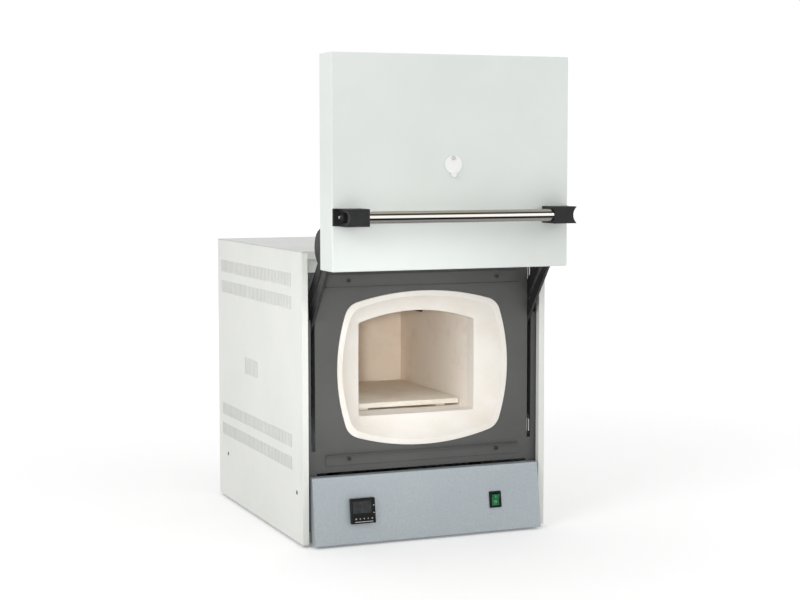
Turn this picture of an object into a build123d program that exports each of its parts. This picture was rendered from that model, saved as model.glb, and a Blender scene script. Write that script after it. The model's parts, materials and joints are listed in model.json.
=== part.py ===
from build123d import *
from collections import namedtuple
import math
import os

os.makedirs("parts", exist_ok=True)

# Bench-top muffle furnace with a lift-up door, in millimetres.
# X runs to the right, Y to the back and Z up. Z is 0 under the feet.
# The door stands open, raised on its four links.

# Casing
CASE_WIDTH = 500.0
CASE_DEPTH = 552.0
CASE_HEIGHT = 548.0
FOOT_HEIGHT = 5.0
FOOT_RADIUS = 14.0
FOOT_INSET = 45.0
FOOT_TAPER = 8.0
SHEET = 1.5
SHEET_GAP = 0.15
FRONT_FLANGE = 12.0
FLANGE_RETURN = 12.0
TOP_FLANGE = 14.0
BASE_LIP = 22.0

# Front plate behind the side panels' front edges
PLATE_SETBACK = 15.0
PLATE_SHEET = 2.0
PLATE_BOTTOM = 131.0
PLATE_TOP = 513.0
PLATE_SHOULDER = 424.0
PLATE_GAP = 4.6
PLATE_TAB = 31.0
SLOT_WIDTH = 8.0
SLOT_BOTTOM = 177.5
RAIL_HEIGHT = 26.0
RAIL_DEPTH = 32.0

# Clamp strips that hold the collar
STRIP_INSET = 51.0
STRIP_SHEET = 1.5
LOWER_STRIP_LIP = 6.0
UPPER_STRIP_LIP = 3.0
LOWER_STRIP_LOW = 148.5
LOWER_STRIP_HIGH = 168.6
UPPER_STRIP_LOW = 483.0
UPPER_STRIP_HIGH = 508.0
STRIP_SCREW_INSET = 46.0
LOWER_SCREW_Z = 160.0
UPPER_SCREW_Z = 496.0

# Screws
SCREW_HEAD = 4.0
SCREW_HEAD_HEIGHT = 2.0
SCREW_SHANK = 2.0
SCREW_HOLE = 2.1
SCREW_REACH = 8.0
SIDE_SCREW_FRONT = 34.0
SIDE_SCREW_REAR = 487.0
SIDE_SCREW_Z = 99.0
SIDE_SCREW_RISE = 0.4
REAR_SCREW_INSET = 25.0
REAR_SCREW_LOW = 40.0
REAR_SCREW_HIGH = 520.0

# Slit vents of the side panels
VENT_FRONT = 60.0
VENT_LENGTH = 468.0
VENT_PITCH = 9.0
VENT_WIDTH = 3.6
VENT_HEIGHT = 25.0
LOWER_VENTS = 137.0
UPPER_VENTS = 441.5
VENT_STEP = 43.0
MIDDLE_VENT_COUNT = 10
MIDDLE_VENT_Y = 318.0
MIDDLE_VENT_Z = 302.0
MIDDLE_VENT_HEIGHT = 34.0
REAR_VENT_COUNT = 18
REAR_LOWER_VENTS = 60.0
REAR_UPPER_VENTS = 470.0

# Sloping control panel
PANEL_SIDE_GAP = 17.0
PANEL_TOP_Z = 130.4
PANEL_TOP_OUT = 4.6
PANEL_BOTTOM_OUT = 23.0
PANEL_BEND = 1.2
PANEL_FITTING_INSET = 95.0
PANEL_FITTING_DOWN = 66.0

# Temperature controller, a 48 mm square panel instrument
BEZEL_SIZE = 48.0
BEZEL_DEPTH = 9.0
BODY_SIZE = 44.8
BODY_DEPTH = 78.0
PANEL_HOLE_GAP = 0.3
BEZEL_TAPER = 3.0
WINDOW_WIDTH = 37.0
WINDOW_HEIGHT = 23.0
WINDOW_UP = 7.0
WINDOW_DEPTH = 2.0
KEY_COUNT = 5
KEY_PITCH = 8.0
KEY_WIDTH = 5.6
KEY_HEIGHT = 3.6
KEY_DOWN = 14.5
KEY_PROUD = 0.9
KEY_DEPTH = 3.0
KEY_TRAVEL = 0.5
KEY_GAP = 0.25
KEY_CORNER = 0.8
FITTING_CORNER = 1.5

# Mains rocker switch
ROCKER_BEZEL_WIDTH = 25.0
ROCKER_BEZEL_HEIGHT = 32.0
ROCKER_BEZEL_DEPTH = 2.4
ROCKER_BEZEL_TAPER = 10.0
ROCKER_BODY_WIDTH = 21.0
ROCKER_BODY_HEIGHT = 28.0
ROCKER_BODY_DEPTH = 24.0
ROCKER_WIDTH = 15.0
ROCKER_HEIGHT = 21.0
ROCKER_END_GAP = 1.1
ROCKER_SIDE_GAP = 0.4
ROCKER_RISE = 6.0
ROCKER_DISH = 2.4
ROCKER_ROOT = 7.0
ROCKER_PROUD = 4.0
ROCKER_PIN_RADIUS = 1.5
ROCKER_TILT = 10.0

# Ceramic collar, muffle and hearth
COLLAR_INSET = 74.4
COLLAR_TOP = 473.3
COLLAR_FLOOR = 178.1
COLLAR_SIDE_BOW = 22.6
COLLAR_TOP_BOW = 23.7
COLLAR_FLOOR_BOW = 26.0
COLLAR_CORNER = 34.0
CHAMBER_INSET = 129.5
CHAMBER_TOP = 433.0
CHAMBER_FLOOR = 233.0
CHAMBER_BOW = 0.5
CHAMBER_TOP_BOW = 21.0
CHAMBER_CORNER = 5.0
RIM_BAND = 10.0
COLLAR_OUT = 1.0
COLLAR_PLATE_GAP = 0.5
FUNNEL_DEPTH = 35.0
FUNNEL_MID_DEPTH = 0.56
FUNNEL_MID_BLEND = 0.42
COLLAR_DEPTH = 64.0
MUFFLE_WALL = 20.0
CHAMBER_DEPTH = 410.0
REAR_WALL = 28.0
CERAMIC_GAP = 0.3
HEARTH_SETBACK = 99.0
HEARTH_THICK = 10.0
HEARTH_RUNNER = 4.0
HEARTH_SIDE_GAP = 3.5
HEARTH_EDGE = 1.5
HEARTH_RUNNER_AT = 0.7
HEARTH_REAR_GAP = 8.0

# Heating winding round the muffle
WINDING_TURNS = 8
WINDING_WIRE = 4.0
WINDING_GAP = 0.2
WINDING_START = 30.0
WINDING_PITCH = 38.0

# Insulation and inner casing
INSULATION_INSET = 40.0
INSULATION_LOW = 138.0
INSULATION_HIGH = 509.0
INSULATION_REAR = 60.0
INNER_SHEET = 1.2
SUPPORT_INSET = 60.0
SUPPORT_WIDTH = 30.0

# Rear services
FLUE_RADIUS = 12.0
FLUE_BORE = 9.0
FLUE_Z = 400.0
FLUE_OUT = 12.0
GLAND_RADIUS = 11.0
GLAND_BORE = 5.0
GLAND_THREAD = 8.0
GLAND_INSET = 60.0
GLAND_Z = 75.0
GLAND_REACH = 18.0
GLAND_INSIDE = 14.0
GLAND_TAPER = 3.0
THERMOCOUPLE_RADIUS = 4.0
THERMOCOUPLE_DOWN = 17.0
THERMOCOUPLE_INSET = 40.5
THERMOCOUPLE_IN = 208.0
THERMOCOUPLE_HEAD = 12.0
TERMINAL_LENGTH = 60.0
TERMINAL_DEPTH = 22.0
TERMINAL_HEIGHT = 26.0
TERMINAL_WAYS = 5
RELAY_LENGTH = 45.0
RELAY_DEPTH = 58.0
RELAY_HEIGHT = 26.0

# Door
DOOR_INSET = 15.9
DOOR_HEIGHT = 388.6
DOOR_DEPTH = 63.3
DOOR_EDGE_RADIUS = 2.5
DOOR_REST_GAP = 1.6
DOOR_NOTCH_DEPTH = 19.0
DOOR_PLATE_INSET = 6.0
DOOR_PLATE_GAP = 1.3
PLUG_GAP = 3.0
PLUG_TIP = 0.8
PLUG_ROOT = 22.0

# Handle
TUBE_RADIUS = 11.0
TUBE_WALL = 1.5
TUBE_OUT = 38.0
TUBE_UP = 97.5
TUBE_INSERT = 20.0
BRACKET_LENGTH = 52.5
BRACKET_INSET = 0.6
BRACKET_DRAFT = 6.5
BRACKET_REACH = 52.0
BRACKET_HEIGHT = 31.0
BRACKET_HOLLOW_RADIUS = 19.0
BRACKET_HOLLOW_DEPTH = 8.0
POCKET_HEIGHT = 19.0
POCKET_WIDTH = 22.0
POCKET_OUT = 28.6
POCKET_WALL = 3.0
POCKET_CORNER = 3.0
BRACKET_CORNER = 4.0
TUBE_FIT = 0.1

# Sight hole and its swinging cover
SIGHT_UP = 190.3
SIGHT_BORE = 8.0
SIGHT_TUBE = 11.0
COVER_RADIUS = 17.0
COVER_THICK = 1.6
COVER_STANDOFF = 0.4
RIVET_UP = 12.0
RIVET_RADIUS = 2.5
RIVET_HEAD = 4.0
RIVET_EDGE = 0.9
GRIP_RADIUS = 4.5
GRIP_DOWN = 18.5
GRIP_PROUD = 5.0

# Lift linkage: two parallel links on each side
ARM_LENGTH = 225.0
ARM_OPEN = 51.5
ARM_CLOSED = -72.4
GUIDE_PIVOT_BACK = 64.6
GUIDE_PIVOT_Z = 366.0
PIVOT_SPACING = 62.0
PIVOT_TILT = 100.5
ARM_INSET = 26.2
ARM_THICK = 5.0
ARM_WIDTH = 26.0
ARM_FLAT = 0.4
GUIDE_WIDTH = 18.0
LOBE_ALONG = 0.72
NECK_ALONG = 0.64
NECK_RADIUS = 9.75
LOBE_OFFSET = 12.5
LOBE_RADIUS = 33.0
PIN_RADIUS = 5.0
PIN_FIT = 0.05
OPEN_PIN_FIT = 0.3
PIN_HEAD_RADIUS = 8.0
PIN_HEAD = 2.6
SIDE_PLAY = 0.4
ARM_BRACKET_PLAY = 3.7
ARM_BRACKET_THICK = 3.0
ARM_BRACKET_LOW = 221.0
ARM_BRACKET_HIGH = 448.0
ARM_BRACKET_DEPTH = 70.0
ARM_BRACKET_FLANGE = 12.0
DOOR_BRACKET_PLAY = 2.0
DOOR_BRACKET_THICK = 3.0
DOOR_BRACKET_MARGIN = 11.0

# Places that follow from the sizes
Screen = namedtuple("Screen", "half_width top floor side_bow top_bow floor_bow corner")
lift_back = ARM_LENGTH * (math.cos(math.radians(ARM_CLOSED)) - math.cos(math.radians(ARM_OPEN)))
lift_up = ARM_LENGTH * (math.sin(math.radians(ARM_OPEN)) - math.sin(math.radians(ARM_CLOSED)))
door_reach = DOOR_DEPTH + DOOR_REST_GAP - PLATE_SETBACK - lift_back + BRACKET_REACH
case_front = (door_reach - CASE_DEPTH - GLAND_REACH) / 2
case_back = case_front + CASE_DEPTH
case_half = CASE_WIDTH / 2
collar_rim = Screen(
    case_half - COLLAR_INSET,
    COLLAR_TOP,
    COLLAR_FLOOR,
    COLLAR_SIDE_BOW,
    COLLAR_TOP_BOW,
    COLLAR_FLOOR_BOW,
    COLLAR_CORNER,
)
chamber = Screen(
    case_half - CHAMBER_INSET,
    CHAMBER_TOP,
    CHAMBER_FLOOR,
    CHAMBER_BOW,
    CHAMBER_TOP_BOW,
    CHAMBER_BOW,
    CHAMBER_CORNER,
)
case_low = FOOT_HEIGHT
case_top = FOOT_HEIGHT + CASE_HEIGHT
plate_face = case_front + PLATE_SETBACK
plate_back = plate_face + PLATE_SHEET
inside_half = case_half - SHEET
flange_inner = case_half - FRONT_FLANGE
rear_inside = case_back - SHEET
collar_face = plate_face - COLLAR_OUT
collar_mid_z = (collar_rim.top + collar_rim.floor) / 2
throat_y = collar_face + FUNNEL_DEPTH
muffle_front = collar_face + COLLAR_DEPTH
chamber_back = plate_face + CHAMBER_DEPTH
door_rim = plate_face - DOOR_REST_GAP + lift_back
door_front = door_rim - DOOR_DEPTH
door_mid_z = collar_mid_z + lift_up
door_low = door_mid_z - DOOR_HEIGHT / 2
door_high = door_mid_z + DOOR_HEIGHT / 2
door_half = case_half - DOOR_INSET
door_skin_back = door_front + SHEET
sight_z = door_low + SIGHT_UP
tube_y = door_front - TUBE_OUT
tube_z = door_low + TUBE_UP
guide_pivot = (case_front + GUIDE_PIVOT_BACK, GUIDE_PIVOT_Z)
pivot_step = (
    PIVOT_SPACING * math.cos(math.radians(PIVOT_TILT)),
    PIVOT_SPACING * math.sin(math.radians(PIVOT_TILT)),
)
arm_pivot = (guide_pivot[0] + pivot_step[0], guide_pivot[1] + pivot_step[1])
arm_run = (
    -ARM_LENGTH * math.cos(math.radians(ARM_OPEN)),
    ARM_LENGTH * math.sin(math.radians(ARM_OPEN)),
)
guide_tip = (guide_pivot[0] + arm_run[0], guide_pivot[1] + arm_run[1])
arm_tip = (arm_pivot[0] + arm_run[0], arm_pivot[1] + arm_run[1])
arm_x = case_half - ARM_INSET
arm_inner = arm_x - ARM_THICK / 2
arm_outer = arm_x + ARM_THICK / 2
arm_bracket_x = arm_outer + ARM_BRACKET_PLAY
door_bracket_outer = arm_inner - DOOR_BRACKET_PLAY
door_bracket_x = door_bracket_outer - DOOR_BRACKET_THICK
panel_half = case_half - PANEL_SIDE_GAP
fitting_x = panel_half - PANEL_FITTING_INSET
strip_half = case_half - STRIP_INSET
strip_screw_x = strip_half - STRIP_SCREW_INSET
rear_screw_x = case_half - REAR_SCREW_INSET
gland_x = GLAND_INSET - case_half
insulation_half = case_half - INSULATION_INSET
support_x = insulation_half - SUPPORT_INSET
thermocouple_x = chamber.half_width - THERMOCOUPLE_INSET
thermocouple_z = chamber.top - THERMOCOUPLE_DOWN


def facing(y):
    """Plane across the furnace at y, seen from the front: x is right and y is up."""
    return Plane.XZ.offset(-y)


def beside(x):
    """Plane along the furnace at x: its own x is back and its y is up."""
    return Plane.YZ.offset(x)


def save(piece, name):
    """Label a finished piece and write it as its own file."""
    piece.part.label = name
    export_step(piece.part, "parts/" + name + ".step")


def block(x_low, x_high, y_low, y_high, z_low, z_high, mode=Mode.ADD):
    """A block between two corners."""
    middle = ((x_low + x_high) / 2, (y_low + y_high) / 2, (z_low + z_high) / 2)
    with Locations(middle):
        Box(x_high - x_low, y_high - y_low, z_high - z_low, mode=mode)


def rod_back(x, z, y_low, y_high, radius, mode=Mode.ADD):
    """A round bar that runs from front to back."""
    with Locations(Location((x, (y_low + y_high) / 2, z), (90, 0, 0))):
        Cylinder(radius, y_high - y_low, mode=mode)


def rod_across(y, z, x_low, x_high, radius, mode=Mode.ADD):
    """A round bar that runs from left to right."""
    with Locations(Location(((x_low + x_high) / 2, y, z), (0, 90, 0))):
        Cylinder(radius, x_high - x_low, mode=mode)


def mirrored(side, near, far):
    """Low and high x of a piece between two distances from the middle, on one side."""
    return min(side * near, side * far), max(side * near, side * far)


def screen(shape, grow=0.0):
    """A face with a bowed outline and round corners."""
    side = shape.half_width + grow
    top = shape.top + grow
    floor = shape.floor - grow
    corner_x = side - shape.side_bow
    corner_top = top - shape.top_bow
    corner_floor = floor + shape.floor_bow
    middle = (top + floor) / 2
    with BuildSketch() as outline:
        with BuildLine():
            ThreePointArc((-corner_x, corner_floor), (0, floor), (corner_x, corner_floor))
            ThreePointArc((corner_x, corner_floor), (side, middle), (corner_x, corner_top))
            ThreePointArc((corner_x, corner_top), (0, top), (-corner_x, corner_top))
            ThreePointArc((-corner_x, corner_top), (-side, middle), (-corner_x, corner_floor))
        make_face()
        fillet(outline.vertices(), shape.corner + max(grow, 0))
    return outline.sketch


def between(share):
    """Outline that lies this share of the way from the collar's rim to the chamber."""
    rim = collar_rim._replace(
        half_width=collar_rim.half_width - RIM_BAND,
        top=collar_rim.top - RIM_BAND,
        floor=collar_rim.floor + RIM_BAND,
    )
    return Screen(*(a + (b - a) * share for a, b in zip(rim, chamber)))


def funnel_share(depth):
    """How far the funnel has closed in at this share of its depth."""
    if depth < FUNNEL_MID_DEPTH:
        return depth / FUNNEL_MID_DEPTH * FUNNEL_MID_BLEND
    rest = (depth - FUNNEL_MID_DEPTH) / (1 - FUNNEL_MID_DEPTH)
    return FUNNEL_MID_BLEND + rest * (1 - FUNNEL_MID_BLEND)


# Base tray, a folded pan that carries everything
tray_front = case_front + FLANGE_RETURN + SHEET_GAP
with BuildPart() as base_tray:
    block(
        -inside_half + SHEET_GAP,
        inside_half - SHEET_GAP,
        tray_front,
        rear_inside - SHEET_GAP,
        case_low,
        case_low + BASE_LIP,
    )
    block(
        -inside_half + SHEET_GAP + SHEET,
        inside_half - SHEET_GAP - SHEET,
        tray_front + SHEET,
        rear_inside - SHEET_GAP - SHEET,
        case_low + SHEET,
        case_low + BASE_LIP,
        mode=Mode.SUBTRACT,
    )
save(base_tray, "base_tray")

foot_span_x = CASE_WIDTH - 2 * FOOT_INSET
foot_span_y = CASE_DEPTH - 2 * FOOT_INSET
with BuildPart() as rubber_feet:
    with BuildSketch():
        with Locations((0, case_front + CASE_DEPTH / 2)):
            with GridLocations(foot_span_x, foot_span_y, 2, 2):
                Circle(FOOT_RADIUS)
    extrude(amount=FOOT_HEIGHT, taper=FOOT_TAPER)
save(rubber_feet, "rubber_feet")


def side_panel(side):
    """One side panel: a sheet with a folded front flange and slit vents."""
    skin = side * (case_half - SHEET / 2)
    flange = side * (case_half - FRONT_FLANGE / 2)
    lip = side * (flange_inner + SHEET / 2)
    with BuildPart() as panel:
        with BuildSketch(Plane.XY.offset(case_low)):
            with Locations((skin, case_front + CASE_DEPTH / 2)):
                Rectangle(SHEET, CASE_DEPTH)
            with Locations((flange, case_front + SHEET / 2)):
                Rectangle(FRONT_FLANGE, SHEET)
            with Locations((lip, case_front + FLANGE_RETURN / 2)):
                Rectangle(SHEET, FLANGE_RETURN)
        extrude(amount=CASE_HEIGHT - SHEET - SHEET_GAP)
        vent_count = int(VENT_LENGTH // VENT_PITCH)
        vent_lows = (LOWER_VENTS, LOWER_VENTS + VENT_STEP, UPPER_VENTS, UPPER_VENTS + VENT_STEP)
        vent_middle = case_front + VENT_FRONT + VENT_LENGTH / 2
        with BuildSketch(beside(side * case_half)):
            for low in vent_lows:
                with Locations((vent_middle, low + VENT_HEIGHT / 2)):
                    with GridLocations(VENT_PITCH, 0, vent_count, 1):
                        Rectangle(VENT_WIDTH, VENT_HEIGHT)
            with Locations((case_front + MIDDLE_VENT_Y, MIDDLE_VENT_Z)):
                with GridLocations(VENT_PITCH, 0, MIDDLE_VENT_COUNT, 1):
                    Rectangle(VENT_WIDTH, MIDDLE_VENT_HEIGHT)
            with Locations(
                (case_front + SIDE_SCREW_FRONT, SIDE_SCREW_Z),
                (case_front + SIDE_SCREW_REAR, SIDE_SCREW_Z),
            ):
                Circle(SCREW_HOLE)
        extrude(amount=-side * 2 * SHEET, mode=Mode.SUBTRACT)
    return panel


save(side_panel(-1), "side_panel_left")
save(side_panel(1), "side_panel_right")

# Top cover with its folded front flange
with BuildPart() as top_cover:
    block(-case_half, case_half, case_front, case_back, case_top - SHEET, case_top)
    flange_half = flange_inner - SHEET_GAP
    block(
        -flange_half,
        flange_half,
        case_front,
        case_front + SHEET,
        case_top - TOP_FLANGE,
        case_top,
    )
save(top_cover, "top_cover")

# Rear panel with slit vents, flue hole and cable gland hole
rear_half = inside_half - SHEET_GAP
rear_high = case_top - SHEET - SHEET_GAP
with BuildPart() as rear_panel:
    block(-rear_half, rear_half, rear_inside, case_back, case_low, rear_high)
    with BuildSketch(facing(case_back)):
        for low in (REAR_LOWER_VENTS, REAR_UPPER_VENTS):
            with Locations((0, low + VENT_HEIGHT / 2)):
                with GridLocations(VENT_PITCH, 0, REAR_VENT_COUNT, 1):
                    Rectangle(VENT_WIDTH, VENT_HEIGHT)
        with Locations((0, FLUE_Z)):
            Circle(FLUE_RADIUS + SHEET_GAP)
        with Locations((gland_x, GLAND_Z)):
            Circle(GLAND_THREAD + SHEET_GAP)
        for height in (REAR_SCREW_LOW, REAR_SCREW_HIGH):
            with Locations((-rear_screw_x, height), (rear_screw_x, height)):
                Circle(SCREW_HOLE)
    extrude(amount=SHEET, mode=Mode.SUBTRACT)
save(rear_panel, "rear_panel")

# Front plate with the collar opening and the two arm slots
plate_half = inside_half - SHEET_GAP
slot_inner = arm_x - SLOT_WIDTH / 2
with BuildPart() as front_plate:
    with BuildSketch(facing(plate_back)):
        with Locations((0, (PLATE_BOTTOM + PLATE_TOP) / 2)):
            Rectangle(2 * plate_half, PLATE_TOP - PLATE_BOTTOM)
        with Locations((0, PLATE_BOTTOM + PLATE_GAP / 2)):
            Rectangle(2 * (plate_half - PLATE_TAB), PLATE_GAP, mode=Mode.SUBTRACT)
        for side in (-1, 1):
            with Locations((side * (slot_inner + plate_half) / 2, (PLATE_SHOULDER + PLATE_TOP) / 2)):
                Rectangle(plate_half - slot_inner, PLATE_TOP - PLATE_SHOULDER, mode=Mode.SUBTRACT)
            with Locations((side * arm_x, (SLOT_BOTTOM + PLATE_SHOULDER) / 2)):
                Rectangle(SLOT_WIDTH, PLATE_SHOULDER - SLOT_BOTTOM, mode=Mode.SUBTRACT)
            for height in (LOWER_SCREW_Z, UPPER_SCREW_Z):
                with Locations((side * strip_screw_x, height)):
                    Circle(SCREW_HOLE, mode=Mode.SUBTRACT)
        add(screen(collar_rim, COLLAR_PLATE_GAP), mode=Mode.SUBTRACT)
    extrude(amount=PLATE_SHEET)
save(front_plate, "front_plate")

# Rail across the top of the front, a channel that the plate's top edge meets
rail_low = PLATE_TOP
rail_high = case_top - SHEET - SHEET_GAP
with BuildPart() as top_rail:
    with BuildSketch(beside(-plate_half)):
        with BuildLine():
            Polyline(
                (plate_face, rail_high),
                (plate_face, rail_low),
                (plate_face + RAIL_DEPTH, rail_low),
                (plate_face + RAIL_DEPTH, rail_low + RAIL_HEIGHT),
                (plate_face + RAIL_DEPTH - SHEET, rail_low + RAIL_HEIGHT),
                (plate_face + RAIL_DEPTH - SHEET, rail_low + SHEET),
                (plate_face + SHEET, rail_low + SHEET),
                (plate_face + SHEET, rail_high),
                close=True,
            )
        make_face()
    extrude(amount=2 * plate_half)
save(top_rail, "top_rail")


def clamp_strip(low, high, screw_z, lip_low, lip):
    """A strip screwed to the front plate, with a lip that stands out along one edge."""
    with BuildPart() as strip:
        block(-strip_half, strip_half, plate_face - STRIP_SHEET, plate_face, low, high)
        block(
            -strip_half,
            strip_half,
            plate_face - lip,
            plate_face,
            lip_low,
            lip_low + STRIP_SHEET,
        )
        with BuildSketch(facing(plate_face)):
            with Locations((-strip_screw_x, screw_z), (strip_screw_x, screw_z)):
                Circle(SCREW_HOLE)
        extrude(amount=STRIP_SHEET, mode=Mode.SUBTRACT)
    return strip


lower_lip_low = LOWER_STRIP_HIGH - STRIP_SHEET
lower_strip = clamp_strip(
    LOWER_STRIP_LOW, LOWER_STRIP_HIGH, LOWER_SCREW_Z, lower_lip_low, LOWER_STRIP_LIP
)
upper_strip = clamp_strip(
    UPPER_STRIP_LOW, UPPER_STRIP_HIGH, UPPER_SCREW_Z, UPPER_STRIP_LOW, UPPER_STRIP_LIP
)
save(lower_strip, "lower_clamp_strip")
save(upper_strip, "upper_clamp_strip")

with BuildPart() as clamp_screws:
    for height in (LOWER_SCREW_Z, UPPER_SCREW_Z):
        for side in (-1, 1):
            head_back = plate_face - STRIP_SHEET
            rod_back(side * strip_screw_x, height, head_back - SCREW_HEAD_HEIGHT, head_back, SCREW_HEAD)
            rod_back(side * strip_screw_x, height, head_back, plate_back, SCREW_SHANK)
save(clamp_screws, "clamp_screws")

with BuildPart() as panel_screws:
    for depth in (SIDE_SCREW_FRONT, SIDE_SCREW_REAR):
        screw_y = case_front + depth
        rod_across(screw_y, SIDE_SCREW_Z, case_half, case_half + SIDE_SCREW_RISE, SCREW_HEAD)
        rod_across(screw_y, SIDE_SCREW_Z, case_half - SCREW_REACH, case_half, SCREW_SHANK)
        rod_across(screw_y, SIDE_SCREW_Z, -case_half - SIDE_SCREW_RISE, -case_half, SCREW_HEAD)
        rod_across(screw_y, SIDE_SCREW_Z, -case_half, -case_half + SCREW_REACH, SCREW_SHANK)
    for side in (-1, 1):
        for height in (REAR_SCREW_LOW, REAR_SCREW_HIGH):
            rod_back(side * rear_screw_x, height, case_back, case_back + SCREW_HEAD_HEIGHT, SCREW_HEAD)
            rod_back(side * rear_screw_x, height, case_back - SCREW_REACH, case_back, SCREW_SHANK)
save(panel_screws, "panel_screws")

# Control panel, bent from one sheet: slope, top ledge and side cheeks
panel_top_y = case_front - PANEL_TOP_OUT
panel_bottom_y = case_front - PANEL_BOTTOM_OUT
panel_back_y = plate_face - SHEET_GAP
panel_slope = math.degrees(math.atan2(PANEL_BOTTOM_OUT - PANEL_TOP_OUT, PANEL_TOP_Z - case_low))
panel_corners = (
    (panel_bottom_y, case_low),
    (panel_top_y, PANEL_TOP_Z),
    (panel_back_y, PANEL_TOP_Z),
    (panel_back_y, case_low + BASE_LIP + SHEET_GAP),
    (case_front, case_low + BASE_LIP + SHEET_GAP),
    (case_front, case_low),
)
panel_face = Plane(
    origin=(0, panel_top_y, PANEL_TOP_Z),
    x_dir=(1, 0, 0),
    z_dir=(0, -math.cos(math.radians(panel_slope)), math.sin(math.radians(panel_slope))),
)
controller_centre = (-fitting_x, -PANEL_FITTING_DOWN)
rocker_centre = (fitting_x, -PANEL_FITTING_DOWN)
with BuildPart() as control_panel:
    with BuildSketch(beside(-panel_half)):
        with BuildLine():
            Polyline(*panel_corners, close=True)
        make_face()
    extrude(amount=2 * panel_half)
    fillet(control_panel.edges().filter_by(Axis.X).group_by(Axis.Y)[0], PANEL_BEND)
    with BuildSketch(beside(-panel_half + SHEET)):
        with BuildLine():
            Polyline(*panel_corners, close=True)
        make_face()
        offset(amount=-SHEET, kind=Kind.INTERSECTION)
        with Locations((plate_face, (case_low + PANEL_TOP_Z) / 2 - SHEET)):
            Rectangle(FLANGE_RETURN, PANEL_TOP_Z - case_low)
    extrude(amount=2 * panel_half - 2 * SHEET, mode=Mode.SUBTRACT)
    with BuildSketch(panel_face):
        with Locations(controller_centre):
            Rectangle(BODY_SIZE + 2 * PANEL_HOLE_GAP, BODY_SIZE + 2 * PANEL_HOLE_GAP)
        with Locations(rocker_centre):
            Rectangle(ROCKER_BODY_WIDTH + 2 * PANEL_HOLE_GAP, ROCKER_BODY_HEIGHT + 2 * PANEL_HOLE_GAP)
    extrude(amount=-3 * SHEET, mode=Mode.SUBTRACT)
save(control_panel, "control_panel")


def on_panel(centre):
    """Plane on the slope of the control panel, centred on a fitting."""
    return Plane(panel_face.location * Location((*centre, 0)))


# Controller: a flanged housing with a display window and five keys
controller_plane = on_panel(controller_centre)
controller_face = controller_plane.offset(BEZEL_DEPTH)
window_centre = (-(BEZEL_SIZE - WINDOW_WIDTH) / 4, WINDOW_UP)
key_first = -(KEY_COUNT - 1) / 2 * KEY_PITCH
with BuildPart() as controller_housing:
    with BuildSketch(controller_plane):
        RectangleRounded(BEZEL_SIZE, BEZEL_SIZE, FITTING_CORNER)
    extrude(amount=BEZEL_DEPTH, taper=BEZEL_TAPER)
    with BuildSketch(controller_plane):
        Rectangle(BODY_SIZE, BODY_SIZE)
    extrude(amount=-BODY_DEPTH)
    with BuildSketch(controller_face):
        with Locations(window_centre):
            Rectangle(WINDOW_WIDTH, WINDOW_HEIGHT)
    extrude(amount=-WINDOW_DEPTH - KEY_GAP, mode=Mode.SUBTRACT)
    with BuildSketch(controller_face):
        with Locations((0, -KEY_DOWN)):
            with GridLocations(KEY_PITCH, 0, KEY_COUNT, 1):
                Rectangle(KEY_WIDTH + 2 * KEY_GAP, KEY_HEIGHT + 2 * KEY_GAP)
    extrude(amount=-KEY_DEPTH - KEY_TRAVEL - KEY_GAP, mode=Mode.SUBTRACT)
save(controller_housing, "controller_housing")

with BuildPart() as controller_window:
    with BuildSketch(controller_face.offset(-WINDOW_DEPTH)):
        with Locations(window_centre):
            Rectangle(WINDOW_WIDTH - 2 * SHEET_GAP, WINDOW_HEIGHT - 2 * SHEET_GAP)
    extrude(amount=WINDOW_DEPTH)
save(controller_window, "controller_window")

for number in range(KEY_COUNT):
    with BuildPart() as key:
        with BuildSketch(controller_face.offset(-KEY_DEPTH)):
            with Locations((key_first + number * KEY_PITCH, -KEY_DOWN)):
                RectangleRounded(KEY_WIDTH, KEY_HEIGHT, KEY_CORNER)
        extrude(amount=KEY_DEPTH + KEY_PROUD)
    save(key, "controller_key_" + str(number + 1))

# Rocker switch: a framed housing and a dished rocker on a cross pin
rocker_plane = on_panel(rocker_centre)
rocker_face = rocker_plane.offset(ROCKER_BEZEL_DEPTH)
rocker_pivot = rocker_plane.offset(ROCKER_BEZEL_DEPTH - ROCKER_PROUD).origin
well_width = ROCKER_WIDTH + 2 * ROCKER_SIDE_GAP
well_height = ROCKER_HEIGHT + 2 * ROCKER_END_GAP
well_depth = ROCKER_PROUD + ROCKER_ROOT + ROCKER_END_GAP
pin_half = (ROCKER_BODY_WIDTH + well_width) / 4
with BuildPart() as rocker_housing:
    with BuildSketch(rocker_plane):
        RectangleRounded(ROCKER_BEZEL_WIDTH, ROCKER_BEZEL_HEIGHT, FITTING_CORNER)
    extrude(amount=ROCKER_BEZEL_DEPTH, taper=ROCKER_BEZEL_TAPER)
    with BuildSketch(rocker_plane):
        Rectangle(ROCKER_BODY_WIDTH, ROCKER_BODY_HEIGHT)
    extrude(amount=-ROCKER_BODY_DEPTH)
    with BuildSketch(rocker_face):
        Rectangle(well_width, well_height)
    extrude(amount=-well_depth, mode=Mode.SUBTRACT)
    rod_across(
        rocker_pivot.Y,
        rocker_pivot.Z,
        fitting_x - pin_half - ROCKER_SIDE_GAP,
        fitting_x + pin_half + ROCKER_SIDE_GAP,
        ROCKER_PIN_RADIUS + PIN_FIT,
        mode=Mode.SUBTRACT,
    )
save(rocker_housing, "rocker_housing")

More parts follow.
